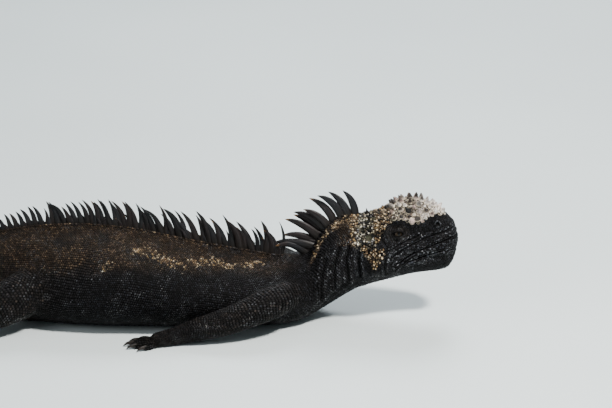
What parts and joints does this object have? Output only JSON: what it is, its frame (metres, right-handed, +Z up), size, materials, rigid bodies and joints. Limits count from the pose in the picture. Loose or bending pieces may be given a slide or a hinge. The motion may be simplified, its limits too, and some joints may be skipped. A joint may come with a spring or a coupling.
{
  "type": "marine iguana model",
  "caption": "Life-size still model of a marine iguana gliding at the surface, laid on its belly: spiny crest, knobbed crown, limbs swept back, long waved tail.",
  "frame": {"origin": "on the floor under the middle of the belly, on the belly's flat", "axes": "+X towards the snout, +Y to the animal's left, +Z up"},
  "size_m": [0.9185, 0.2093, 0.11],
  "materials": {
    "head_skin": "knobbed pale crown, charcoal wet face",
    "body_skin": "fine keeled scales, damp charcoal and brown with ochre patches",
    "eye": "wet gloss, dim brown iris",
    "crest_horn": "satin charcoal horn with pale streaks",
    "claw_horn": "satin black horn"
  },
  "bodies": {
    "root": {"head": "head_skin", "eye_left": "eye", "eye_right": "eye", "neck": "body_skin", "torso": "body_skin", "tail_base": "body_skin", "tail_middle": "body_skin", "tail_rear": "body_skin", "tail_tip": "body_skin", "fore_left_upper_arm": "body_skin", "fore_left_forearm": "body_skin", "fore_left_hand": "body_skin", "fore_right_upper_arm": "body_skin", "fore_right_forearm": "body_skin", "fore_right_hand": "body_skin", "hind_left_thigh": "body_skin", "hind_left_shank": "body_skin", "hind_left_foot": "body_skin", "hind_right_thigh": "body_skin", "hind_right_shank": "body_skin", "hind_right_foot": "body_skin"}
  },
  "joints": []
}
